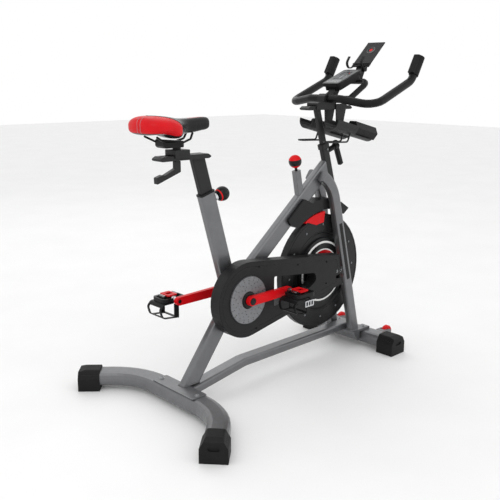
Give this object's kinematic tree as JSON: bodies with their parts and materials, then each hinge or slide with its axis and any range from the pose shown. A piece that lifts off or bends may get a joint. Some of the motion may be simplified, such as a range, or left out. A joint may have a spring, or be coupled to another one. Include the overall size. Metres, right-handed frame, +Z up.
{
  "type": "indoor spin bike",
  "caption": "Upright stationary bike with a belt-driven disc flywheel, padded saddle on a sliding post, curved handlebar, console, tablet rack and swept floor stabilizers.",
  "frame": {"origin": "on the floor, under the middle of the overall length and width", "axes": "+X forward (flywheel end), +Y to the rider's left, +Z up"},
  "size_m": [1.224, 0.786, 1.2145],
  "materials": {
    "frame_grey": "satin",
    "dark_steel": "satin",
    "black_steel": "satin",
    "black_rubber": "matte",
    "wheel_red": "satin",
    "black_plastic": "matte",
    "knob_plastic": "gloss",
    "disc_grey": "brushed",
    "red_paint": "gloss",
    "flywheel_dark": "gloss",
    "emblem_red": "gloss",
    "bright_steel": "brushed",
    "red_vinyl": "satin",
    "key_rubber": "matte",
    "weight_black": "satin"
  },
  "bodies": {
    "frame": {"rear_stabilizer": "frame_grey", "front_stabilizer": "frame_grey", "rear_cap_right": "black_rubber", "rear_cap_left": "black_rubber", "front_cap_right": "black_rubber", "front_cap_left": "black_rubber", "front_crosspiece": "frame_grey", "base_tube": "frame_grey", "seat_tube": "frame_grey", "rear_leg": "frame_grey", "diagonal_tube": "frame_grey", "bottom_bracket": "dark_steel", "head_tube": "dark_steel", "front_leg_right": "frame_grey", "front_leg_left": "frame_grey", "seat_sleeve": "black_plastic", "guard_cover": "black_plastic", "guard_back": "black_plastic", "guard_disc": "disc_grey", "drive_belt": "black_rubber", "brake_shroud": "black_plastic", "knob_sleeve": "frame_grey", "flywheel_axle": "bright_steel", "axle_plate_right": "dark_steel", "axle_plate_left": "dark_steel", "pin_barrel": "bright_steel"},
    "crank": {"crank_axle": "black_steel", "crank_arm_right": "red_paint", "crank_arm_left": "red_paint"},
    "flywheel": {"flywheel": "flywheel_dark", "flywheel_emblem": "emblem_red"},
    "pedal_right": {"pedal_right": "black_steel", "toe_cage_right": "black_steel"},
    "pedal_left": {"pedal_left": "black_steel", "toe_cage_left": "black_steel"},
    "seat_post": {"seat_post": "dark_steel", "seat_rail": "dark_steel"},
    "seat_slider": {"seat_slider": "dark_steel", "saddle_clamp": "black_steel", "saddle": "red_vinyl"},
    "seat_lever": {"seat_lever": "dark_steel"},
    "seat_pin": {"seat_pin": "knob_plastic"},
    "bar_post": {"bar_post": "black_steel"},
    "bar_slider": {"bar_slider": "dark_steel", "handlebar": "black_steel", "grip_right": "black_rubber", "grip_left": "black_rubber", "console": "black_plastic", "tray_right": "dark_steel", "tray_left": "dark_steel"},
    "console_keypad": {"console_keypad": "key_rubber"},
    "media_rack": {"media_rack": "black_plastic"},
    "hand_weight_right": {"hand_weight_right": "weight_black"},
    "hand_weight_left": {"hand_weight_left": "weight_black"},
    "bar_lever": {"bar_lever": "black_plastic"},
    "knob_rod": {"knob_rod": "black_steel"},
    "resistance_knob": {"resistance_knob": "knob_plastic"},
    "brake_magnet": {"brake_magnet": "red_paint"},
    "transport_wheel_right": {"transport_wheel_right": "wheel_red"},
    "transport_wheel_left": {"transport_wheel_left": "wheel_red"}
  },
  "joints": [
    {"name": "flywheel_spin", "type": "hinge", "parent": "frame", "child": "flywheel", "pos_m": [0.27896, 0, 0.345], "axis": [0, 1, 0], "continuous": true},
    {"name": "crank_spin", "type": "hinge", "parent": "frame", "child": "crank", "pos_m": [-0.17604, 0, 0.338], "axis": [0, 1, 0], "continuous": true},
    {"name": "pedal_right_spin", "type": "hinge", "parent": "crank", "child": "pedal_right", "pos_m": [-0.00615, -0.149, 0.34423], "axis": [0, 1, 0], "continuous": true},
    {"name": "pedal_left_spin", "type": "hinge", "parent": "crank", "child": "pedal_left", "pos_m": [-0.34593, 0.137, 0.33177], "axis": [0, 1, 0], "continuous": true},
    {"name": "seat_height", "type": "slide", "parent": "frame", "child": "seat_post", "axis": [-0.2823, 0, 0.9593], "range_m": [0, 0.12]},
    {"name": "seat_reach", "type": "slide", "parent": "seat_post", "child": "seat_slider", "axis": [1, 0, 0], "range_m": [-0.05, 0.04]},
    {"name": "seat_lever_turn", "type": "hinge", "parent": "seat_slider", "child": "seat_lever", "pos_m": [-0.41204, 0, 0.826], "axis": [0, 0, 1], "range_deg": [-60, 60]},
    {"name": "seat_pin_pull", "type": "slide", "parent": "frame", "child": "seat_pin", "axis": [0.9593, 0, 0.2823], "range_m": [0, 0.008], "stiffness_N_per_m": 1500, "springref_m": -0.004},
    {"name": "bar_height", "type": "slide", "parent": "frame", "child": "bar_post", "axis": [-0.304, 0, 0.9527], "range_m": [0, 0.08]},
    {"name": "bar_reach", "type": "slide", "parent": "bar_post", "child": "bar_slider", "axis": [1, 0, 0], "range_m": [-0.04, 0.035]},
    {"name": "keypad_press", "type": "slide", "parent": "bar_slider", "child": "console_keypad", "axis": [0.3633, 0, -0.9317], "range_m": [0, 0.001], "stiffness_N_per_m": 800, "springref_m": -0.0005},
    {"name": "rack_tilt", "type": "hinge", "parent": "bar_slider", "child": "media_rack", "pos_m": [0.49796, 0, 1.111], "axis": [0, 1, 0], "range_deg": [-8, 20]},
    {"name": "weight_right_slide", "type": "slide", "parent": "bar_slider", "child": "hand_weight_right", "axis": [0.973, 0, -0.2307], "range_m": [0, 0.12]},
    {"name": "weight_left_slide", "type": "slide", "parent": "bar_slider", "child": "hand_weight_left", "axis": [0.973, 0, -0.2307], "range_m": [0, 0.12]},
    {"name": "bar_lever_turn", "type": "hinge", "parent": "frame", "child": "bar_lever", "pos_m": [0.2927, 0, 0.80434], "axis": [0.9527, 0, 0.304], "range_deg": [-60, 60]},
    {"name": "brake_push", "type": "slide", "parent": "frame", "child": "knob_rod", "axis": [0.2045, 0, -0.9789], "range_m": [0, 0.008], "stiffness_N_per_m": 3000, "springref_m": -0.004},
    {"name": "knob_turn", "type": "hinge", "parent": "knob_rod", "child": "resistance_knob", "pos_m": [0.12887, 0, 0.78172], "axis": [-0.2045, 0, 0.9789], "continuous": true},
    {"name": "magnet_swing", "type": "hinge", "parent": "frame", "child": "brake_magnet", "pos_m": [0.1691, 0, 0.5516], "axis": [0, 1, 0], "range_deg": [0, 1.8]},
    {"name": "transport_right_spin", "type": "hinge", "parent": "frame", "child": "transport_wheel_right", "pos_m": [0.58596, -0.119, 0.048], "axis": [0, 1, 0], "continuous": true},
    {"name": "transport_left_spin", "type": "hinge", "parent": "frame", "child": "transport_wheel_left", "pos_m": [0.58596, 0.119, 0.048], "axis": [0, 1, 0], "continuous": true}
  ],
  "couplings": [
    {"joint": "crank_spin", "follows": "flywheel_spin", "ratio": 0.25},
    {"joint": "magnet_swing", "follows": "brake_push", "rad_per_m": 3.6}
  ]
}
